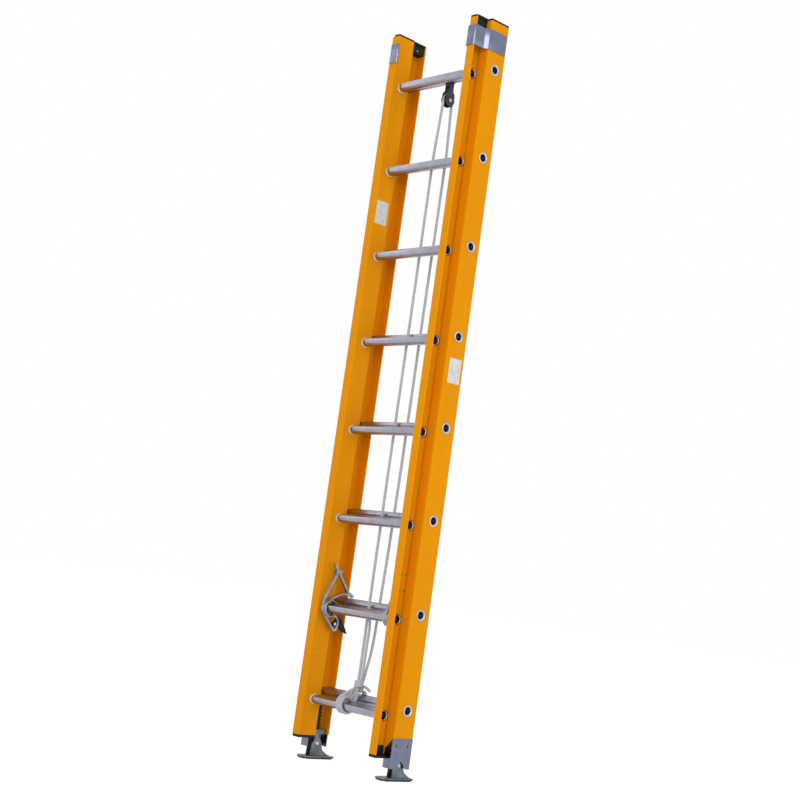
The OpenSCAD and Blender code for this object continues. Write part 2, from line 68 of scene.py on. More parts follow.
# each section's name, rung line, lowest rung and half width
sections = (("base", baseY, ladder["baseRung"], baseHalf), ("fly", flyY, ladder["flyRung"], flyHalf))


def makeCamera():
    view = {
        "place": (3.7221, -3.3627, 0.6199),
        "right": (0.6764, 0.72352, 0.13786),
        "down": (0.00476, 0.18288, -0.98312),
        "ahead": (-0.73652, 0.66564, 0.12026),
        "lens": 67.47, "sensor": 36, "near": 0.05, "far": 60,
    }
    data = bpy.data.cameras.new("camera")
    data.lens = view["lens"]
    data.sensor_width = view["sensor"]
    data.clip_start = view["near"]
    data.clip_end = view["far"]
    camera = bpy.data.objects.new("camera", data)
    bpy.context.scene.collection.objects.link(camera)
    turn = Matrix((view["right"], [-c for c in view["down"]], [-c for c in view["ahead"]])).transposed()
    camera.matrix_world = Matrix.Translation(view["place"]) @ turn.to_4x4()
    bpy.context.scene.camera = camera


makeCamera()
print("camera set")


# node group for the materials to share; inputs are (label, kind, value) and outputs (label, kind)
def newGroup(name, inputs, outputs):
    group = bpy.data.node_groups.new(name, "ShaderNodeTree")
    for label, kind, value in inputs:
        socket = group.interface.new_socket(label, in_out="INPUT", socket_type=kind)
        socket.default_value = value
    for label, kind in outputs:
        group.interface.new_socket(label, in_out="OUTPUT", socket_type=kind)
    return group, group.nodes.new("NodeGroupInput"), group.nodes.new("NodeGroupOutput")


def addNode(tree, kind, links=None, **values):
    node = tree.nodes.new(kind)
    for key, value in values.items():
        setattr(node, key, value)
    for key, value in (links or {}).items():
        if isinstance(value, bpy.types.NodeSocket):
            tree.links.new(value, node.inputs[key])
        else:
            node.inputs[key].default_value = value
    return node


def addMath(tree, operation, *values):
    return addNode(tree, "ShaderNodeMath", dict(enumerate(values)), operation=operation).outputs[0]


# soft cloudy patches, 0 to 1, in the object's own metres
def makeMottle():
    group, inside, outside = newGroup(
        "mottle",
        [("Size", "NodeSocketFloat", 0.05), ("Stretch", "NodeSocketVector", (1, 1, 1)),
         ("Detail", "NodeSocketFloat", 3.0)],
        [("Mask", "NodeSocketFloat")])
    place = addNode(group, "ShaderNodeTexCoord")
    stretched = addNode(group, "ShaderNodeVectorMath",
                        {0: place.outputs["Object"], 1: inside.outputs["Stretch"]}, operation="MULTIPLY")
    count = addMath(group, "DIVIDE", 1.0, inside.outputs["Size"])
    noise = addNode(group, "ShaderNodeTexNoise", {
        "Vector": stretched.outputs[0], "Scale": count, "Detail": inside.outputs["Detail"], "Roughness": 0.6})
    group.links.new(noise.outputs["Fac"], outside.inputs["Mask"])
    return group


mottle = makeMottle()


def addMottle(tree, size, stretch=(1, 1, 1), detail=3.0):
    node = tree.nodes.new("ShaderNodeGroup")
    node.node_tree = mottle
    node.inputs["Size"].default_value = size
    node.inputs["Stretch"].default_value = stretch
    node.inputs["Detail"].default_value = detail
    return node.outputs["Mask"]


def blendColours(tree, mask, low, high, start=0.35, end=0.65):
    ramp = addNode(tree, "ShaderNodeValToRGB", {"Fac": mask})
    ramp.color_ramp.elements[0].position = start
    ramp.color_ramp.elements[0].color = (*low, 1)
    ramp.color_ramp.elements[1].position = end
    ramp.color_ramp.elements[1].color = (*high, 1)
    return ramp.outputs["Color"]


def rangeOf(tree, mask, low, high):
    links = {"Value": mask, "From Min": 0.3, "From Max": 0.7, "To Min": low, "To Max": high}
    return addNode(tree, "ShaderNodeMapRange", links).outputs["Result"]


def newMaterial(name):
    material = bpy.data.materials.new(name)
    material.use_nodes = True
    tree = material.node_tree
    return material, tree, tree.nodes["Principled BSDF"]


def addBump(tree, shader, height, strength, distance):
    bump = addNode(tree, "ShaderNodeBump", {"Height": height, "Strength": strength, "Distance": distance})
    tree.links.new(bump.outputs["Normal"], shader.inputs["Normal"])


# cloudy colour with faint streaks along the rail, where the glass threads run
def makeFibreglass():
    look = {
        "low": (0.795, 0.292, 0.0003), "high": (0.855, 0.322, 0.0006), "rough": (0.45, 0.58), "ior": 1.14,
        "patches": 0.06, "patchStretch": (1, 1, 0.2), "patchShare": 0.6,
        "streaks": 0.0012, "streakStretch": (1, 1, 0.02), "streakShare": 0.4,
        "bump": 0.12, "bumpDepth": 0.0003,
    }
    material, tree, shader = newMaterial("orangeFibreglass")
    cloud = addMottle(tree, look["patches"], look["patchStretch"])
    streak = addMottle(tree, look["streaks"], look["streakStretch"], detail=2.0)
    cloudPart = addMath(tree, "MULTIPLY", cloud, look["patchShare"])
    mixed = addMath(tree, "MULTIPLY_ADD", streak, look["streakShare"], cloudPart)
    tree.links.new(blendColours(tree, mixed, look["low"], look["high"]), shader.inputs["Base Color"])
    tree.links.new(rangeOf(tree, cloud, *look["rough"]), shader.inputs["Roughness"])
    addBump(tree, shader, streak, look["bump"], look["bumpDepth"])
    shader.inputs["IOR"].default_value = look["ior"]
    return material


# patches and grain are the sizes of the cloudy colour and of the fine bumps
def makeMetal(name, low, high, rough, metallic=1.0, stretch=(1, 1, 1), patches=0.03, grain=0.001,
              bump=0.1, bumpDepth=0.0002):
    material, tree, shader = newMaterial(name)
    cloud = addMottle(tree, patches)
    fine = addMottle(tree, grain, stretch, detail=2.0)
    tree.links.new(blendColours(tree, cloud, low, high), shader.inputs["Base Color"])
    tree.links.new(rangeOf(tree, fine, *rough), shader.inputs["Roughness"])
    shader.inputs["Metallic"].default_value = metallic
    addBump(tree, shader, fine, bump, bumpDepth)
    return material


def makePlastic(name, low, high, rough=(0.4, 0.6), ior=1.25, patches=0.02, grain=0.0008,
                bump=0.2, bumpDepth=0.0002):
    material, tree, shader = newMaterial(name)
    cloud = addMottle(tree, patches)
    fine = addMottle(tree, grain, detail=2.0)
    tree.links.new(blendColours(tree, cloud, low, high), shader.inputs["Base Color"])
    tree.links.new(rangeOf(tree, cloud, *rough), shader.inputs["Roughness"])
    shader.inputs["IOR"].default_value = ior
    addBump(tree, shader, fine, bump, bumpDepth)
    return material


# two sets of slanting threads from the cord's own lengthwise and round coordinates
def makeRopeMaterial():
    look = {
        "low": (0.3, 0.32, 0.38), "high": (0.62, 0.645, 0.72), "rampFrom": 0.1, "rampTo": 0.6, "rough": 0.75,
        "strandsRound": 8.0, "turnsPerMetre": 90.0, "bump": 0.5, "bumpDepth": 0.0006,
    }
    material, tree, shader = newMaterial("braidedRope")
    place = addNode(tree, "ShaderNodeUVMap", uv_map="cord")
    split = addNode(tree, "ShaderNodeSeparateXYZ", {"Vector": place.outputs["UV"]})
    along = addMath(tree, "MULTIPLY", split.outputs["X"], look["turnsPerMetre"])
    around = addMath(tree, "MULTIPLY", split.outputs["Y"], look["strandsRound"])
    waves = []
    for way in ("ADD", "SUBTRACT"):
        slant = addMath(tree, way, along, around)
        waves.append(addMath(tree, "SINE", addMath(tree, "MULTIPLY", slant, math.tau)))
    weave = addMath(tree, "MULTIPLY", *waves)
    raised = addNode(tree, "ShaderNodeMapRange", {"Value": weave, "From Min": -1.0, "From Max": 1.0})
    height = raised.outputs["Result"]
    colour = blendColours(tree, height, look["low"], look["high"], look["rampFrom"], look["rampTo"])
    tree.links.new(colour, shader.inputs["Base Color"])
    shader.inputs["Roughness"].default_value = look["rough"]
    addBump(tree, shader, height, look["bump"], look["bumpDepth"])
    return material


materials = {
    "rail": makeFibreglass(),
    "rung": makeMetal("rungAluminium", (0.31, 0.31, 0.375), (0.38, 0.38, 0.45), (0.27, 0.31),
                      stretch=(0.02, 1, 1), grain=0.0007, bump=0.03),
    "ring": makeMetal("brightAluminium", (0.42, 0.43, 0.47), (0.6, 0.61, 0.65), (0.2, 0.32), bump=0.04),
    "bracket": makeMetal("bracketAluminium", (0.165, 0.18, 0.25), (0.195, 0.21, 0.285), (0.22, 0.28),
                         stretch=(1, 1, 0.05), grain=0.0008, bump=0.02),
    "foot_metal": makeMetal("zincPlate", (0.11, 0.13, 0.14), (0.19, 0.215, 0.235), (0.35, 0.5), metallic=0.9),
    "pin_steel": makeMetal("pinSteel", (0.4, 0.4, 0.42), (0.55, 0.55, 0.58), (0.3, 0.45)),
    "lock_casting": makeMetal("dieCast", (0.26, 0.27, 0.31), (0.38, 0.39, 0.45), (0.35, 0.55),
                              metallic=0.9, grain=0.0015, bump=0.25),
    "black_plastic": makePlastic("mouldedBlack", (0.006, 0.006, 0.007), (0.014, 0.014, 0.016)),
    "tread": makePlastic("rubberTread", (0.045, 0.047, 0.05), (0.075, 0.078, 0.082), (0.7, 0.85), bump=0.4),
    "rope": makeRopeMaterial(),
    "label": makePlastic("blankLabel", (0.62, 0.63, 0.62), (0.74, 0.75, 0.74), (0.35, 0.5), bump=0.05),
    # swaged rung ends: the pale colour is a painted highlight on the real swaged collar, far brighter than
    # the rung's own aluminium
    "collar": makeMetal("swagedEndPaintedHighlight", (0.66, 0.65, 0.67), (0.78, 0.76, 0.78), (0.4, 0.5),
                        metallic=0.35, bump=0.03),
    "darkSteel": makeMetal("darkSteel", (0.02, 0.024, 0.028), (0.06, 0.066, 0.075), (0.35, 0.5),
                           metallic=0.5),
}
for entry in frame["record"]["subparts"]:
    node = frame["nodes"][entry["node"]]
    finish = "darkSteel" if entry["node"] == "pulley_hanger" else entry["material_slot"]
    node.data.materials.clear()
    node.data.materials.append(materials[finish])
print("materials made")


# puts a finished mesh in the scene on its body, in place of the CAD nodes it stands for
def addPiece(name, bm, slot, body, replaces=(), smooth=40):
    mesh = bpy.data.meshes.new(name)
    bm.to_mesh(mesh)
    bm.free()
    mesh.materials.append(materials[slot])
    mesh.shade_smooth()
    mesh.set_sharp_from_angle(angle=math.radians(smooth))
    piece = bpy.data.objects.new(name, mesh)
    bpy.context.scene.collection.objects.link(piece)
    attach(piece, body)
    # labels and collars have finishes of their own and stand in for no CAD node
    if replaces:
        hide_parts(*replaces)
    return piece


def points(bm, corners):
    return [bm.verts.new(c) for c in corners]


# evenly spaced points on a rounded path through the given ones
def roundRoute(route, step):
    places = [Vector(p) for p in route]
    line = []
    for i in range(len(places) - 1):
        before = places[max(i - 1, 0)]
        a, b = places[i], places[i + 1]
        after = places[min(i + 2, len(places) - 1)]
        gap = (b - a).length
        slopeA = (b - before).normalized() * gap if i else (b - a)
        slopeB = (after - a).normalized() * gap if i + 2 < len(places) else (b - a)
        count = max(1, int(gap / step))
        for k in range(count):
            t = k / count
            line.append((2 * t ** 3 - 3 * t ** 2 + 1) * a + (t ** 3 - 2 * t ** 2 + t) * slopeA
                        + (3 * t ** 2 - 2 * t ** 3) * b + (t ** 3 - t ** 2) * slopeB)
    line.append(places[-1])
    return line


# direction of a line of points at one of them
def headingAt(line, i):
    return (line[min(i + 1, len(line) - 1)] - line[max(i - 1, 0)]).normalized()


# tube along a line of points, its ring extruded from point to point, with lengthwise and round coordinates
def sweepCord(line, radius, sides=14):
    bm = bmesh.new()
    layer = bm.loops.layers.uv.new("cord")
    ahead = headingAt(line, 0)
    side = ahead.orthogonal().normalized()
    facing = Matrix((side, ahead.cross(side), ahead)).transposed().to_4x4()
    made = bmesh.ops.create_circle(bm, cap_ends=False, segments=sides, radius=radius,
                                   matrix=Matrix.Translation(line[0]) @ facing)
    first = ring = list(made["verts"])
    edges = list({e for v in ring for e in v.link_edges})
    ringAt = {v: (0.0, k) for k, v in enumerate(ring)}  # how far along and how far round each point is
    travelled = 0.0
    for i in range(1, len(line)):
        nextAhead = headingAt(line, i)
        turn = ahead.rotation_difference(nextAhead).to_matrix().to_4x4()
        move = Matrix.Translation(line[i]) @ turn @ Matrix.Translation(-line[i - 1])
        extruded = bmesh.ops.extrude_edge_only(bm, edges=edges)["geom"]
        newVerts = [g for g in extruded if isinstance(g, bmesh.types.BMVert)]
        edges = [g for g in extruded if isinstance(g, bmesh.types.BMEdge)]
        travelled += (line[i] - line[i - 1]).length
        newRing = []
        for v in ring:
            mate = next(e.other_vert(v) for e in v.link_edges if e.other_vert(v) in newVerts)
            newRing.append(mate)
            ringAt[mate] = (travelled, ringAt[v][1])
        bmesh.ops.transform(bm, matrix=move, verts=newVerts)
        ring = newRing
        ahead = nextAhead
    for face in bm.faces:
        ks = [ringAt[loop.vert][1] for loop in face.loops]
        wraps = max(ks) - min(ks) > 1
        for loop in face.loops:
            far, k = ringAt[loop.vert]
            loop[layer].uv = (far, (k + (sides if wraps and k == 0 else 0)) / sides)
    for cap in (first, ring):
        bm.faces.new(cap)
    bmesh.ops.recalc_face_normals(bm, faces=bm.faces)
    return bm


# closed shell from ring of points to ring of points, each extruded from the one before
def loft(bm, rings):
    first = ring = points(bm, rings[0])
    edges = [bm.edges.new((ring[k], ring[k - 1])) for k in range(len(ring))]
    for places in rings[1:]:
        extruded = bmesh.ops.extrude_edge_only(bm, edges=edges)["geom"]
        newVerts = {g for g in extruded if isinstance(g, bmesh.types.BMVert)}
        ring = [next(e.other_vert(v) for e in v.link_edges if e.other_vert(v) in newVerts) for v in ring]
        edges = [bm.edges.get((ring[k], ring[k - 1])) for k in range(len(ring))]
        for vert, place in zip(ring, places):
            vert.co = place
    for cap in (first, ring):
        bm.faces.new(cap)
    bmesh.ops.recalc_face_normals(bm, faces=bm.faces)


# outline with each corner rounded to its own radius; corners are (a, b, radius)
def roundOutline(corners, steps=5):
    line = []
    for i, (a, b, radius) in enumerate(corners):
        here = Vector((a, b))
        if radius <= 0:
            line.append(here)
            continue
        back = (Vector(corners[i - 1][:2]) - here).normalized()
        on = (Vector(corners[(i + 1) % len(corners)][:2]) - here).normalized()
        half = back.angle(on) / 2
        reach = radius / math.tan(half)
        centre = here + (back + on).normalized() * radius / math.sin(half)
        start = here + back * reach - centre
        end = here + on * reach - centre
        sweep = start.angle_signed(end)
        for k in range(steps + 1):
            angle = -sweep * k / steps
            line.append(centre + Vector((start.x * math.cos(angle) - start.y * math.sin(angle),
                                         start.x * math.sin(angle) + start.y * math.cos(angle))))
    return line


# flat outline made solid along an axis, its end edges bevelled
def prism(bm, outline, axis, low, high, bevel, segments=2):
    lift = {"x": lambda a, b: (low, a, b), "y": lambda a, b: (a, low, b), "z": lambda a, b: (a, b, low)}[axis]
    way = {"x": (high - low, 0, 0), "y": (0, high - low, 0), "z": (0, 0, high - low)}[axis]
    face = bm.faces.new(points(bm, [lift(*p) for p in outline]))
    rim = list(face.edges)
    made = bmesh.ops.extrude_face_region(bm, geom=[face])["geom"]
    moved = [g for g in made if isinstance(g, bmesh.types.BMVert)]
    bmesh.ops.translate(bm, verts=moved, vec=way)
    bmesh.ops.recalc_face_normals(bm, faces=bm.faces)
    far = next(g for g in made if isinstance(g, bmesh.types.BMFace))
    bmesh.ops.bevel(bm, geom=rim + list(far.edges), offset=bevel, segments=segments, profile=0.5,
                    affect="EDGES", material=-1)


# profile of (distance along X, radius) spun round an axis along X
def spinX(bm, profile, centre, steps, closed=True):
    x0, y0, z0 = centre
    verts = points(bm, [(x0 + a, y0, z0 + r) for a, r in profile])
    pairs = zip(verts, verts[1:] + verts[:1]) if closed else zip(verts, verts[1:])
    edges = [bm.edges.new(pair) for pair in pairs]
    bmesh.ops.spin(bm, geom=verts + edges, cent=centre, axis=(1, 0, 0), angle=math.tau, steps=steps,
                   use_merge=True)
    bmesh.ops.remove_doubles(bm, verts=bm.verts, dist=1e-6)
    bmesh.ops.recalc_face_normals(bm, faces=bm.faces)


def mirrorX(bm):
    bmesh.ops.scale(bm, vec=(-1, 1, 1), verts=bm.verts)
    bmesh.ops.reverse_faces(bm, faces=bm.faces)


# right-hand piece made by build(bm), and its mirrored twin
def addPair(name, build, slot, body, nodes, smooth=40):
    for side, label in (("left", "Left"), ("right", "Right")):
        bm = bmesh.new()
        build(bm)
        if side == "left":
            mirrorX(bm)
        addPiece(name + label, bm, slot, body.replace("SIDE", side), [n.replace("SIDE", side) for n in nodes],
                 smooth)


# one piece with the shapes that build(bm) makes on the right, and the same on the left
def addBothSides(name, build, slot, body, nodes, smooth):
    bm = bmesh.new()
    build(bm)
    mirrorX(bm)
    build(bm)
    addPiece(name, bm, slot, body, nodes, smooth)


# one point ring of a rung: fine ridges on the flat step, shallow grooves round the rest
def rungProfile(x, y, z):
    shape = {
        "radius": 0.0207, "up": 0.00625, "top": 0.0145, "tilt": 14.5, "ridge": 0.0007, "groove": 0.00045,
        "roundSteps": 54, "flatSteps": 26,
    }
    corner = math.asin((shape["top"] - shape["up"]) / shape["radius"])
    half = shape["radius"] * math.cos(corner)
    ring = []
    for k in range(shape["roundSteps"]):
        angle = corner - (math.pi + 2 * corner) * k / shape["roundSteps"]
        grooved = k % 6 in (3, 4) and 4 < k < 50
        radius = shape["radius"] - (shape["groove"] if grooved else 0)
        ring.append((radius * math.cos(angle), shape["up"] + radius * math.sin(angle)))
    for k in range(shape["flatSteps"]):
        lowered = shape["ridge"] if k % 4 in (1, 2) else 0
        ring.append((-half + 2 * half * k / shape["flatSteps"], shape["top"] - lowered))
    tilt = math.radians(shape["tilt"])
    return [(x, y + a * math.cos(tilt) - b * math.sin(tilt), z + a * math.sin(tilt) + b * math.cos(tilt))
            for a, b in ring]


def roundRing(x, y, z, radius, like):
    ring = []
    for _, py, pz in like:
        away = Vector((py - y, pz - z)).normalized() * radius
        ring.append((x, y + away.x, z + away.y))
    return ring


# ridged bar that narrows to a round neck at each web, with a blind bore in its end
def makeRungs():
    size = {
        "bore": 0.0122, "boreEnd": 0.00244, "depth": 0.030, "neck": 0.0149, "beyondWeb": 0.0004,
        "neckGap": 0.0002, "narrow": 0.0152,
        "bulge": ((0.0004, 0.0149), (0.0030, 0.0150), (0.0060, 0.0150), (0.0090, 0.0150)),  # from web, radius
        "widening": ((0.35, 0.014), (0.75, 0.021), (1.0, 0.030)),  # share of the full shape, from web
    }
    for section, y, first, half in sections:
        inner = half - ladder["wall"]
        steps = [(inner - size["depth"], size["boreEnd"]), (inner - size["depth"], size["bore"]),
                 (half, size["bore"]), (half + size["beyondWeb"], size["neck"]),
                 (inner - size["neckGap"], size["neck"])]
        steps += [(inner - back, radius) for back, radius in size["bulge"]]
        for k in range(ladder["rungs"]):
            z = first + k * ladder["pitch"]
            like = rungProfile(0, y, z)
            halfway = [roundRing(x, y, z, radius, like) for x, radius in steps]
            for share, back in size["widening"]:
                narrow = roundRing(inner - back, y, z, size["narrow"], like)
                full = rungProfile(inner - back, y, z)
                halfway.append([tuple(a + (b - a) * share for a, b in zip(p, q))
                                for p, q in zip(narrow, full)])
            rings = halfway + [[(-px, py, pz) for px, py, pz in ring] for ring in reversed(halfway)]
            bm = bmesh.new()
            loft(bm, rings)
            addPiece(f"{section}Rung{k + 1}", bm, "rung", f"{section}_section",
                     [f"{section}_rung_{k + 1}"], smooth=25)


# at every rung end: a flared bead outside the web and a swaged collar inside it, the collar coloured pale as
# a painted highlight
def makeRings():
    ring = {
        "steps": 36,
        "bead": [(0.0, 0.0130), (0.0, 0.0184), (0.0009, 0.0190), (0.0021, 0.0185), (0.0029, 0.0168),
                 (0.0028, 0.0150), (0.0018, 0.0133)],
        "collar": [(-0.0004, 0.0140), (-0.0006, 0.0153), (-0.0024, 0.0163), (-0.0062, 0.0169),
                   (-0.0102, 0.0166), (-0.0128, 0.0155), (-0.0132, 0.0140)],
    }

    def spinRow(profile, x, y, first):
        def build(bm):
            for k in range(ladder["rungs"]):
                spinX(bm, profile, (x, y, first + k * ladder["pitch"]), ring["steps"])
        return build

    for section, y, first, half in sections:
        beads = spinRow(ring["bead"], half, y, first)
        addBothSides(section + "Rings", beads, "ring", section + "_section", [section + "_rings"],
                     smooth=60)
        # the collars take the pale swaged-end finish, whose brightness is a painted highlight
        collars = spinRow(ring["collar"], half - ladder["wall"], y, first)
        addBothSides(section + "Collars", collars, "collar", section + "_section", [], smooth=60)


makeRungs()
makeRings()
print("rungs made")


# plate over the fly rail's end, open between its front part and its rear leg, and the plug inside the rail
def fillFlyEnd(bm, end):
    step = flyWeb + 0.0065
    wall = 0.0046  # the rail's own wall and the room to slide the plug in
    lip = [(flyWeb, flyFront, 0.005), (flyWeb, flyRear, 0.005), (flyTip, flyRear, 0.002),
           (flyTip, end["rearLeg"], 0.002), (step, end["rearLeg"], 0.002), (step, end["frontLeg"], 0.001),
           (flyTip, end["frontLeg"], end["legRound"]), (flyTip, flyFront, end["cornerRound"])]
    prism(bm, roundOutline(lip[::-1]), "z", *end["lip"], bevel=end["edge"], segments=3)
    plug = [(flyWeb + wall, flyFront + wall, 0.001), (flyWeb + end["plugWide"], flyFront + wall, 0.002),
            (flyWeb + end["plugWide"], end["plugRear"], 0.002), (flyWeb + wall, end["plugRear"], 0.001)]
    prism(bm, roundOutline(plug), "z", *end["plug"], bevel=0.0006)


def makeCaps():
    flange = baseHalf - ladder["flange"]
    low = ladder["flyBottom"]
    baseCap = {
        "lip": (baseTop, baseTop + 0.007), "edge": 0.0018, "step": baseHalf - 0.006,
        "frontLeg": baseFront + 0.004, "rearLeg": baseFront + 0.0205,
        "plug": (baseTop - 0.031, baseTop + 0.0005), "wall": 0.0046, "plugWide": 0.038,
        "plugFront": baseY - 0.014,
    }
    flyCap = {
        "lip": (flyTop, flyTop + 0.007), "edge": 0.0018, "rearLeg": flyRear - 0.012,
        "frontLeg": flyRear - 0.0216, "legRound": 0.003, "cornerRound": 0.012,
        "plug": (flyTop - 0.038, flyTop + 0.0005), "plugWide": 0.0300, "plugRear": flyY + 0.0150,
    }
    flyShoe = {
        "lip": (low - 0.009, low), "edge": 0.002, "rearLeg": flyRear - 0.0135,
        "frontLeg": flyY + 0.0130, "legRound": 0.002, "cornerRound": 0.004,
        "plug": (low - 0.0005, low + 0.028), "plugWide": 0.0136, "plugRear": flyY + 0.0125,
    }
    guide = {
        "face": baseHalf - 0.036, "back": baseHalf - 0.0045,
        "front": baseFront + 0.0196, "rear": baseFront + 0.0436, "low": ladder["baseBottom"] + 0.016,
        "teeth": 7, "step": 0.012, "cut": 0.0045, "land": 0.005, "ramp": 0.0035,
    }

    def buildBaseCap(bm):
        lip = [(baseHalf, baseFront, 0.005), (baseHalf, baseRear, 0.005), (flange, baseRear, 0.003),
               (flange, baseCap["rearLeg"], 0.002), (baseCap["step"], baseCap["rearLeg"], 0.002),
               (baseCap["step"], baseCap["frontLeg"], 0.001), (flange, baseCap["frontLeg"], 0.001),
               (flange, baseFront, 0.001)]
        prism(bm, roundOutline(lip), "z", *baseCap["lip"], bevel=baseCap["edge"], segments=3)
        outer, inner = baseHalf - baseCap["wall"], baseHalf - baseCap["plugWide"]
        front, rear = baseCap["plugFront"], baseRear - baseCap["wall"]
        plug = [(outer, front, 0.002), (outer, rear, 0.003), (inner, rear, 0.003), (inner, front, 0.002)]
        prism(bm, roundOutline(plug), "z", *baseCap["plug"], bevel=0.0008)

    def buildGuideBlock(bm):
        face, cut = guide["face"], guide["face"] + guide["cut"]
        high = guide["low"] + guide["teeth"] * guide["step"]
        outline = [(guide["back"], guide["low"]), (guide["back"], high)]
        for k in reversed(range(guide["teeth"])):
            foot = guide["low"] + k * guide["step"]
            outline += [(face, foot + guide["step"]), (face, foot + guide["land"]),
                        (cut, foot + guide["ramp"]), (cut, foot)]
        prism(bm, outline, "y", guide["front"], guide["rear"], bevel=0.0006)

    addPair("baseCap", buildBaseCap, "black_plastic", "base_section", ["base_cap_SIDE"])
    addPair("flyCap", lambda bm: fillFlyEnd(bm, flyCap), "black_plastic", "fly_section", ["fly_cap_SIDE"])
    addPair("flyShoe", lambda bm: fillFlyEnd(bm, flyShoe), "black_plastic", "fly_section", ["fly_shoe_SIDE"])
    addPair("guideBlock", buildGuideBlock, "black_plastic", "base_section", ["guide_block_SIDE"])


# the strap that keeps each fly rail in place, and that its rivets are set by
strap = {"thick": 0.0026, "low": baseTop - 0.102, "high": baseTop - 0.032, "gap": 0.0006, "hook": 0.0055}


# strap bent from the base web's outer face across the fly rail's front, its end hooked round the fly web
def makeBrackets():
    thick = strap["thick"]
    lip = flyWeb - strap["gap"]
    front = flyFront - strap["gap"]
    hook = front + strap["hook"]
    bend = flyTip + 0.0008
    web = baseHalf + 0.0001
    rear = baseY + 0.036

    def build(bm):
        inner = [(lip, hook, 0), (lip, front, 0.0006), (bend, front, 0.004), (bend, baseFront - 0.013, 0.006),
                 (web, baseFront + 0.001, 0.006), (web, rear, 0.0004)]
        outer = [(web + thick, rear, 0.001), (web + thick, baseFront - 0.001, 0.0086),
                 (bend + thick, baseFront - 0.0145, 0.004), (bend + thick, front - thick + 0.0055, 0.003),
                 (bend + thick - 0.005, front - thick, 0.003), (lip - thick + 0.0035, front - thick, 0.0015),
                 (lip - thick, front - thick + 0.0035, 0.0015), (lip - thick, hook, 0.001)]
        prism(bm, roundOutline(inner + outer), "z", strap["low"], strap["high"], bevel=0.0006)

    addPair("guideBracket", build, "bracket", "base_section", ["guide_bracket_SIDE"])


# way is 1 for a head that faces outwards and -1 for one that faces inwards
def domeRivet(bm, x, y, z, radius, height, way=1):
    shape = ((0.0, 0.0), (0.0, 1.0), (0.35, 0.97), (0.75, 0.72), (0.95, 0.38), (1.0, 0.0))
    spinX(bm, [(height * up * way, radius * out) for up, out in shape], (x, y, z), steps=20, closed=False)


def makeRivets():
    rivet = {
        "radius": 0.0045, "small": 0.0032, "tall": 0.0024, "flat": 0.0012,
        "strapEdge": 0.016, "aboveStrap": 0.010,
    }
    shoe = {"x": baseHalf + 0.003, "z": 0.112, "apart": 0.024}
    stopZ, plateZ = (0.342, 0.368), (0.598, 0.648)
    outside = baseHalf + strap["thick"]

    def buildGuideRivets(bm):
        for z in (strap["low"] + rivet["strapEdge"], strap["high"] - rivet["strapEdge"]):
            for y in (baseY - 0.012, baseY + 0.022):
                domeRivet(bm, outside, y, z, rivet["radius"], rivet["flat"])
        domeRivet(bm, baseHalf - 0.038, baseY + 0.004, strap["high"] + rivet["aboveStrap"],
                  rivet["radius"], rivet["tall"], -1)

    def buildShoeRivets(bm):
        for y in (baseY - shoe["apart"], baseY + shoe["apart"]):
            domeRivet(bm, shoe["x"], y, shoe["z"], rivet["radius"], rivet["tall"])

    def buildFlyRivets(bm):
        for z in stopZ:
            domeRivet(bm, flyWeb, flyY - 0.008, z, rivet["small"], rivet["flat"], -1)
        for z in plateZ:
            for y in (flyY - 0.004, flyY + 0.012):
                domeRivet(bm, flyHalf, y, z, rivet["small"], rivet["flat"])

    addBothSides("guideRivets", buildGuideRivets, "bracket", "base_section", ["guide_rivets"], smooth=50)
    addBothSides("shoeRivets", buildShoeRivets, "bracket", "base_section", ["shoe_rivets"], smooth=50)
    addBothSides("flyRivets", buildFlyRivets, "bracket", "fly_section", ["fly_rivets"], smooth=50)


makeCaps()
makeBrackets()
makeRivets()
print("caps, brackets and rivets made")


# sheet wrapped round the base rail's end: columns along its path, each with its own foot and top
def makeShoeBrackets():
    shoe = {
        "low": 0.040, "high": 0.136, "wall": 0.003, "standOff": 0.0015, "tipShort": 0.0065, "turn": 0.0065,
        "notchTop": 0.064, "notchHalf": 0.024, "slopeFrom": 0.002, "slopeWide": 0.033, "slopeDrop": 0.038,
        "legSteps": 8, "backSteps": 24,
    }
    turn = shoe["turn"]
    out = baseHalf + shoe["standOff"]
    tip = baseHalf - ladder["flange"] + shoe["tipShort"]
    front, rear = baseFront - shoe["standOff"], baseRear + shoe["standOff"]

    def roundCorner(centreY, start):
        angles = [math.radians(start + 15 * k) for k in range(7)]
        return [(out - turn + turn * math.cos(a), centreY + turn * math.sin(a)) for a in angles]

    def build(bm):
        leg, back = shoe["legSteps"], shoe["backSteps"]
        path = [(tip + (out - turn - tip) * k / leg, front) for k in range(leg)]
        path += roundCorner(front + turn, -90)
        path += [(out, front + turn + (rear - front - 2 * turn) * k / back) for k in range(1, back)]
        path += roundCorner(rear - turn, 0)
        path += [(out - turn + (tip - out + turn) * k / leg, rear) for k in range(1, leg + 1)]
        columns = []
        for x, y in path:
            notch = max(0.0, 1 - abs(y - baseY) / shoe["notchHalf"]) if x > out - 0.001 else 0.0
            low = shoe["low"] + (shoe["notchTop"] - shoe["low"]) * notch
            slope = min(1.0, max(0.0, (baseHalf - shoe["slopeFrom"] - x) / shoe["slopeWide"]))
            columns.append(((x, y, low), (x, y, shoe["high"] - shoe["slopeDrop"] * slope)))
        lows = points(bm, [low for low, _ in columns])
        lowEdges = [bm.edges.new(pair) for pair in zip(lows, lows[1:])]
        rise = bmesh.ops.extrude_edge_only(bm, edges=lowEdges)["geom"]
        tops = {v for v in rise if isinstance(v, bmesh.types.BMVert)}
        for vert, (_, top) in zip(lows, columns):
            mate = next(e.other_vert(vert) for e in vert.link_edges if e.other_vert(vert) in tops)
            mate.co = top
        bmesh.ops.recalc_face_normals(bm, faces=bm.faces)
        bmesh.ops.solidify(bm, geom=bm.faces[:], thickness=shoe["wall"])
        bmesh.ops.recalc_face_normals(bm, faces=bm.faces)

    addPair("shoeBracket", build, "bracket", "base_section", ["shoe_bracket_SIDE"], smooth=30)


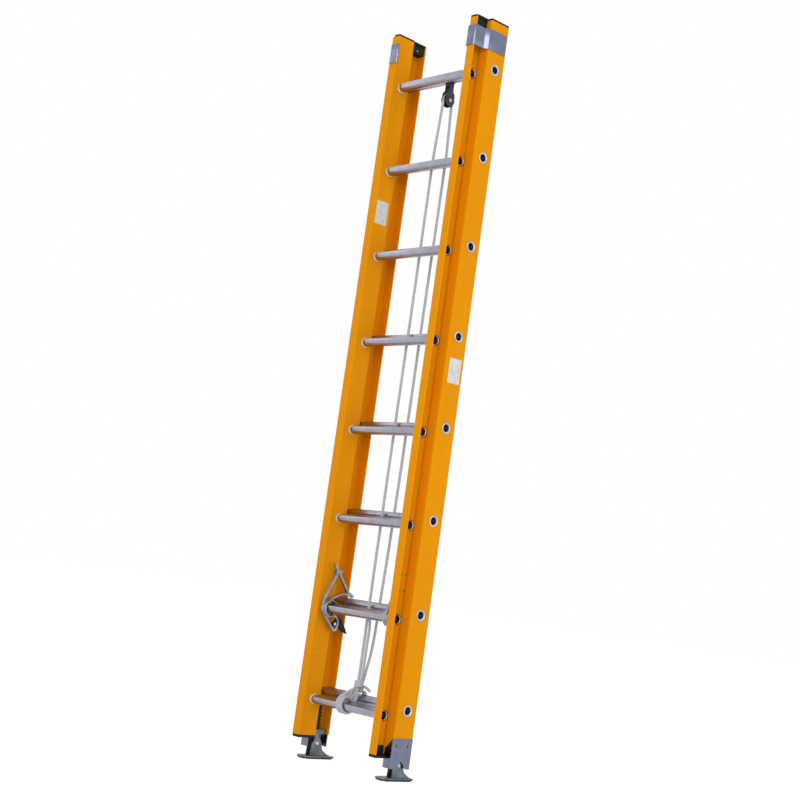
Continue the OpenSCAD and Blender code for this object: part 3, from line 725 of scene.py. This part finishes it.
# plate with two ears for the pivot, over a ribbed rubber pad; the toe is round and the heel square
def makeFeet():
    foot = {
        "pivotZ": 0.051, "inner": baseHalf - 0.052, "outer": baseHalf - 0.002, "toe": 0.066, "heel": 0.070,
        "pad": 0.006, "plate": 0.004, "toeRound": 0.0235, "heelRound": 0.004,
        "ears": (baseHalf - 0.033, baseHalf - 0.0104), "earThick": 0.003,
        "padInset": 0.001, "padLow": 0.003, "ribs": 12, "ribStep": 0.010, "firstRib": -0.050,
        "ribFront": 0.0068, "ribRear": 0.0002, "ribTop": 0.0032, "toeRibShort": 0.010,
    }
    top = foot["pad"] + foot["plate"]
    pivotZ = foot["pivotZ"]

    def plateOutline(inset):
        inner, outer = foot["inner"] + inset, foot["outer"] - inset
        heel, toe = baseY + foot["heel"] - inset, baseY - foot["toe"] + inset
        toeRound = foot["toeRound"] - inset
        return roundOutline([(inner, toe, toeRound), (outer, toe, toeRound),
                             (outer, heel, foot["heelRound"]), (inner, heel, foot["heelRound"])], 10)

    def buildPlate(bm):
        prism(bm, plateOutline(0.0), "z", foot["pad"], top, bevel=0.0008)
        ear = [(-0.022, top - 0.001, 0), (-0.020, pivotZ - 0.002, 0.010), (-0.010, pivotZ + 0.0165, 0.012),
               (0.012, pivotZ + 0.0165, 0.012), (0.021, pivotZ + 0.002, 0.010),
               (0.028, pivotZ - 0.022, 0.012), (0.050, top + 0.005, 0.02),
               (foot["heel"] - 0.001, top - 0.001, 0)]
        for x in foot["ears"]:
            outline = roundOutline([(baseY + a, b, r) for a, b, r in reversed(ear)])
            prism(bm, outline, "x", x, x + foot["earThick"], bevel=0.0006)

    def buildPad(bm):
        prism(bm, plateOutline(foot["padInset"]), "z", foot["padLow"], foot["pad"], bevel=0.0004)
        for k in range(foot["ribs"]):
            y = baseY + k * foot["ribStep"] + foot["firstRib"]
            inset = foot["padInset"] + (foot["toeRibShort"] if k == 0 else 0.0)
            inner, outer = foot["inner"] + inset, foot["outer"] - inset
            front, rear = y - foot["ribFront"], y - foot["ribRear"]
            rib = [(inner, front, 0.001), (outer, front, 0.001), (outer, rear, 0.001), (inner, rear, 0.001)]
            prism(bm, roundOutline(rib, 2), "z", 0.0, foot["ribTop"], bevel=0.0004, segments=1)

    addPair("footPlate", buildPlate, "foot_metal", "foot_SIDE", ["foot_plate_SIDE"])
    addPair("footPad", buildPad, "tread", "foot_SIDE", ["foot_pad_SIDE"])


makeShoeBrackets()
makeFeet()
print("shoes and feet made")


# cast bar along a rounded path in the lock's own Y and Z, its section between an oval and a rectangle
def sweepBar(bm, route, x, width, thick, sides=14):
    line = roundRoute([(0.0, a, b) for a, b in route], 0.003)
    rings = []
    for i, place in enumerate(line):
        ahead = headingAt(line, i)
        across = Vector((0, -ahead.z, ahead.y))
        ring = []
        for k in range(sides):
            angle = math.tau * k / sides
            c, n = math.cos(angle), math.sin(angle)
            flat = (abs(c) ** 3 + abs(n) ** 3) ** (1 / 3)
            ring.append(place + Vector((x + width / 2 * c / flat, 0, 0)) + across * (thick / 2 * n / flat))
        rings.append(ring)
    loft(bm, rings)


def makeLocks():
    lock = {
        "x": 0.158, "y": flyY, "z": ladder["flyRung"] + ladder["pitch"], "width": 0.016,
        "hubIn": 0.0250, "hubOut": 0.0294, "hubEdge": 0.0285, "fingerHalf": 0.0040,
    }
    spring = {
        "radius": 0.0264, "wire": 0.0012, "turns": 3, "steps": 28, "sides": 8,
        "gap": 0.0017, "rise": 0.002755,
    }
    x0, half = lock["x"], lock["width"] / 2
    centre = Vector((0, lock["y"], lock["z"]))

    def buildCasting(bm):
        hub = [(-half, lock["hubIn"]), (-half, lock["hubEdge"]), (-half + 0.001, lock["hubOut"]),
               (half - 0.001, lock["hubOut"]), (half, lock["hubEdge"]), (half, lock["hubIn"])]
        spinX(bm, hub, (x0, 0, 0), steps=48)
        bars = [  # route from the hub's centre, width along the rung, thickness
            (((-0.026, 0.012), (-0.022, 0.032), (-0.004, 0.076), (0.016, 0.122)), 0.011, 0.0105),
            (((0.006, 0.120), (0.018, 0.126), (0.030, 0.120)), 0.014, 0.012),
            (((0.022, 0.122), (0.044, 0.094), (0.078, 0.055)), 0.011, 0.0095),
            (((-0.004, 0.026), (0.022, 0.040), (0.050, 0.051), (0.080, 0.053)), 0.011, 0.0095),
            (((0.016, 0.124), (0.008, 0.138), (-0.003, 0.149)), 0.011, 0.0100),
            (((0.028, 0.118), (0.032, 0.131)), 0.008, 0.008),
            (((-0.027, -0.006), (-0.008, -0.031), (0.012, -0.054), (0.028, -0.070), (0.042, -0.068)),
             0.012, 0.0110),
            (((0.020, -0.022), (0.038, -0.030), (0.046, -0.046), (0.042, -0.066)), 0.011, 0.0090),
            (((0.072, 0.056), (0.082, 0.055), (0.096, 0.047)), 0.0155, 0.0110),
        ]
        for route, width, thick in bars:
            sweepBar(bm, route, x0, width, thick)
        bmesh.ops.translate(bm, verts=bm.verts, vec=centre)

    def buildFinger(bm):
        horn = [(0.020, -0.050, 0.003), (0.030, -0.060, 0.008), (0.047, -0.056, 0.006), (0.070, -0.074, 0.02),
                (0.093, -0.080, 0.001), (0.082, -0.062, 0.02), (0.058, -0.030, 0.006), (0.044, -0.024, 0.005),
                (0.030, -0.040, 0.006)]
        prism(bm, roundOutline(horn), "x", x0 - lock["fingerHalf"], x0 + lock["fingerHalf"], bevel=0.0012)
        bmesh.ops.translate(bm, verts=bm.verts, vec=centre)

    def buildSpring(bm):
        line = []
        for k in range(spring["turns"] * spring["steps"] + 1):
            turned = k / spring["steps"]
            angle = math.tau * turned
            across, up = spring["radius"] * math.cos(angle), spring["radius"] * math.sin(angle)
            line.append(centre + Vector((x0 - half - spring["gap"] - spring["rise"] * turned, across, up)))
        rings = []
        for i, place in enumerate(line):
            out = Vector((0, place.y - lock["y"], place.z - lock["z"])).normalized()
            side = headingAt(line, i).cross(out).normalized()
            angles = [math.tau * k / spring["sides"] for k in range(spring["sides"])]
            rings.append([place + spring["wire"] * (math.cos(a) * out + math.sin(a) * side) for a in angles])
        loft(bm, rings)

    addPair("lockCasting", buildCasting, "lock_casting", "lock_SIDE_arm", ["lock_SIDE"])
    addPair("lockFinger", buildFinger, "black_plastic", "finger_SIDE", ["lock_finger_SIDE"])
    addPair("lockSpring", buildSpring, "pin_steel", "fly_section", ["lock_spring_SIDE"])


makeLocks()
print("locks made")


def makeLabels():
    sheet = {"thick": 0.0003, "corner": 0.003, "edge": 0.0001}
    labels = {
        "flyLabel": {"body": "fly_section", "x": flyHalf - 0.0043,
                     "y": (flyY - 0.031, flyY + 0.022), "z": (1.840, 1.922)},
        "baseLabel": {"body": "base_section", "x": baseHalf,
                      "y": (baseY - 0.024, baseY + 0.030), "z": (1.286, 1.369)},
    }
    for name, label in labels.items():
        (front, rear), (low, high) = label["y"], label["z"]
        patch = [(y, z, sheet["corner"]) for y, z in ((front, low), (rear, low), (rear, high), (front, high))]
        bm = bmesh.new()
        prism(bm, roundOutline(patch), "x", label["x"], label["x"] + sheet["thick"],
              bevel=sheet["edge"], segments=1)
        if name == "flyLabel":
            mirrorX(bm)  # it is on the left rail
        addPiece(name, bm, "label", label["body"])


makeLabels()
print("labels made")


# x is where the rope falls, and it hangs behind each rung line; wrapY and wrapZ centre a turn on a rung
rope = {
    "radius": 0.00475, "x": 0.014, "behindFly": flyY + 0.029, "behindBase": baseY + 0.029,
    "sheaveZ": topRung - 0.075, "sheaveRadius": 0.0195,
    "wrap": 0.0263, "wrapY": -0.00156, "wrapZ": 0.00605,
}


def addCord(name, route, body, nodes=(), step=0.004):
    return addPiece(name, sweepCord(roundRoute(route, step), rope["radius"]), "rope", body, nodes)


# points of an arc across Y and Z, in degrees, drifting along X
def arc(centreY, centreZ, radius, start, end, x0, x1, steps):
    line = []
    for k in range(steps + 1):
        angle = math.radians(start + (end - start) * k / steps)
        y, z = centreY + radius * math.cos(angle), centreZ + radius * math.sin(angle)
        line.append((x0 + (x1 - x0) * k / steps, y, z))
    return line


# turns of the rope round a rung
def wrapRung(y, z, start, end, x0, x1, steps):
    return arc(y + rope["wrapY"], z + rope["wrapZ"], rope["wrap"], start, end, x0, x1, steps)


# the two falls: up from the fly section's lowest rung, over the sheave and down to the base section's
def makeFalls():
    top = rope["sheaveZ"]
    x, behindFly, behindBase = rope["x"], rope["behindFly"], rope["behindBase"]
    liftRoute = [
        (x, baseY - rope["sheaveRadius"], top), (x, baseY - 0.021, top - 0.02),
        (x, flyY + 0.0325, top - 0.15), (x, flyY + 0.03, top - 0.2), (x, behindFly, 1.6),
        (0.010, behindFly, 0.9), (0.008, behindFly, 0.24)]
    lift = addCord("ropeLift", liftRoute, "base_section", ["rope_lift"], step=0.02)
    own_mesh(lift)
    haulRoute = arc(baseY, top, rope["sheaveRadius"], start=180, end=0, x0=x, x1=x, steps=12) + [
        (x, baseY + 0.0205, top - 0.02), (x, baseY + 0.027, top - 0.15), (x, behindBase, top - 0.2),
        (0.010, behindBase, 1.6), (0.004, behindBase, 0.9), (-0.006, baseY + 0.028, 0.52),
        (-0.010, baseY + 0.026, 0.40), (-0.013, baseY + 0.014, 0.31), (-0.014, baseY + 0.004, 0.262),
        (-0.014, baseY, 0.25)]
    addCord("ropeHaul", haulRoute, "base_section", ["rope_haul"], step=0.012)


# turns round the fly section's lowest rung, the knot behind it and the spare end above
def makeFlyKnot():
    lump = {
        "start": 200, "turned": 940, "steps": 48, "x": 0.0125, "z": 0.270,
        "wide": 0.0135, "deep": 0.0085, "rise": 0.017,
    }
    behind = rope["behindFly"]
    knot = [(0.008, behind, 0.24), (0.008, flyY + 0.028, 0.224)]
    knot += wrapRung(flyY, ladder["flyRung"], start=0, end=-970, x0=0.008, x1=-0.0205, steps=64)
    knot += [(-0.0165, flyY + 0.003, 0.242), (-0.009, flyY + 0.017, 0.253), (0.001, flyY + 0.027, 0.264),
             (0.006, flyY + 0.030, 0.272)]
    addCord("ropeFlyKnot", knot, "fly_section", ["rope_fly_knot"], step=0.005)
    coil = []
    for k in range(lump["steps"] + 1):
        share = k / lump["steps"]
        angle = math.radians(lump["start"] + lump["turned"] * share)
        coil.append((lump["x"] + lump["wide"] * math.cos(angle), behind + lump["deep"] * math.sin(angle),
                     lump["z"] + lump["rise"] * share))
    addCord("ropeLump", coil, "fly_section")
    spare = [(0.0172, flyY + 0.033, 0.268), (0.0172, flyY + 0.035, 0.30), (0.0178, flyY + 0.035, 0.40),
             (0.0192, flyY + 0.035, 0.46), (0.0209, flyY + 0.031, 0.482), (0.0209, flyY + 0.023, 0.498)]
    addCord("ropeSpare", spare, "fly_section", step=0.012)


# turns round the base section's lowest rung, the short tail over it and the small turns where the haul ends
def makeBaseHitch():
    over = ladder["baseRung"]
    hitch = wrapRung(baseY, over, start=60, end=780, x0=-0.024, x1=-0.0034, steps=48)
    addCord("ropeBaseHitch", hitch, "base_section", ["rope_base_hitch"], step=0.005)
    tail = [(-0.012, baseY - 0.006, over + 0.040), (0.000, baseY - 0.008, over + 0.045),
            (0.012, baseY - 0.004, over + 0.046), (0.021, baseY + 0.004, over + 0.040),
            (0.027, baseY + 0.010, over + 0.033)]
    addCord("ropeTail", tail, "base_section")
    collar = arc(baseY + 0.001, over + 0.036, 0.0085, start=0, end=520, x0=-0.020, x1=-0.008, steps=36)
    addCord("ropeCollar", collar, "base_section")


makeFalls()
makeFlyKnot()
makeBaseHitch()
print("ropes made")


# 1 for what the camera sees straight or in a mirror, 0 for light that only falls on the ladder
def seenSharply(tree):
    path = addNode(tree, "ShaderNodeLightPath")
    sharp = addMath(tree, "MAXIMUM", path.outputs["Is Glossy Ray"], path.outputs["Is Transmission Ray"])
    return addMath(tree, "MAXIMUM", path.outputs["Is Camera Ray"], sharp)


def makeWorld(strength):
    world = bpy.data.worlds.new("studio")
    bpy.context.scene.world = world
    world.use_nodes = True
    tree = world.node_tree
    tree.nodes.clear()
    lit = addNode(tree, "ShaderNodeBackground", {"Color": (1, 1, 1, 1), "Strength": strength})
    plain = addNode(tree, "ShaderNodeBackground", {"Color": (1, 1, 1, 1), "Strength": 1.0})
    seen = seenSharply(tree)
    mixed = addNode(tree, "ShaderNodeMixShader", {0: seen, 1: lit.outputs[0], 2: plain.outputs[0]})
    addNode(tree, "ShaderNodeOutputWorld", {"Surface": mixed.outputs[0]})


def makeFloorMaterial(glowShare, glowStrength):
    material, tree, shader = newMaterial("paleFloor")
    shader.inputs["Base Color"].default_value = (0.8, 0.8, 0.8, 1)
    shader.inputs["Roughness"].default_value = 0.9
    glow = addNode(tree, "ShaderNodeEmission", {"Color": (1, 1, 1, 1), "Strength": glowStrength})
    share = addMath(tree, "MULTIPLY", seenSharply(tree), glowShare)
    mixed = addNode(tree, "ShaderNodeMixShader", {0: share, 1: shader.outputs[0], 2: glow.outputs[0]})
    tree.links.new(mixed.outputs[0], tree.nodes["Material Output"].inputs["Surface"])
    return material


def makeStage():
    stage = {
        "world": 0.72, "glowShare": 0.8, "glow": 1.16, "floorSize": 30, "floorZ": -0.0005,
        "aim": (0, 0, 1.25),
    }
    lamps = {
        "strip": {"place": (3.0, -3.2, 2.3), "power": 56, "wide": 0.6, "tall": 4.6},
        "fill": {"place": (-3.4, -2.6, 2.4), "power": 9, "wide": 0.8, "tall": 4.0},
        "side": {"place": (3.8, 1.6, 1.6), "power": 20, "wide": 1.2, "tall": 3.0},
    }
    scene = bpy.context.scene
    scene.view_settings.view_transform = "Standard"
    makeWorld(stage["world"])
    for name, light in lamps.items():
        data = bpy.data.lights.new(name, "AREA")
        data.energy = light["power"]
        data.shape = "RECTANGLE"
        data.size = light["wide"]
        data.size_y = light["tall"]
        lamp = bpy.data.objects.new(name, data)
        scene.collection.objects.link(lamp)
        lamp.location = light["place"]
        toLadder = Vector(stage["aim"]) - Vector(light["place"])
        lamp.rotation_euler = toLadder.to_track_quat("-Z", "Y").to_euler()
    bm = bmesh.new()
    bmesh.ops.create_grid(bm, x_segments=1, y_segments=1, size=stage["floorSize"])
    mesh = bpy.data.meshes.new("floor")
    bm.to_mesh(mesh)
    bm.free()
    mesh.materials.append(makeFloorMaterial(stage["glowShare"], stage["glow"]))
    floor = bpy.data.objects.new("floor", mesh)
    scene.collection.objects.link(floor)
    floor.location = (0, 0, stage["floorZ"])


makeStage()
print("stage made")
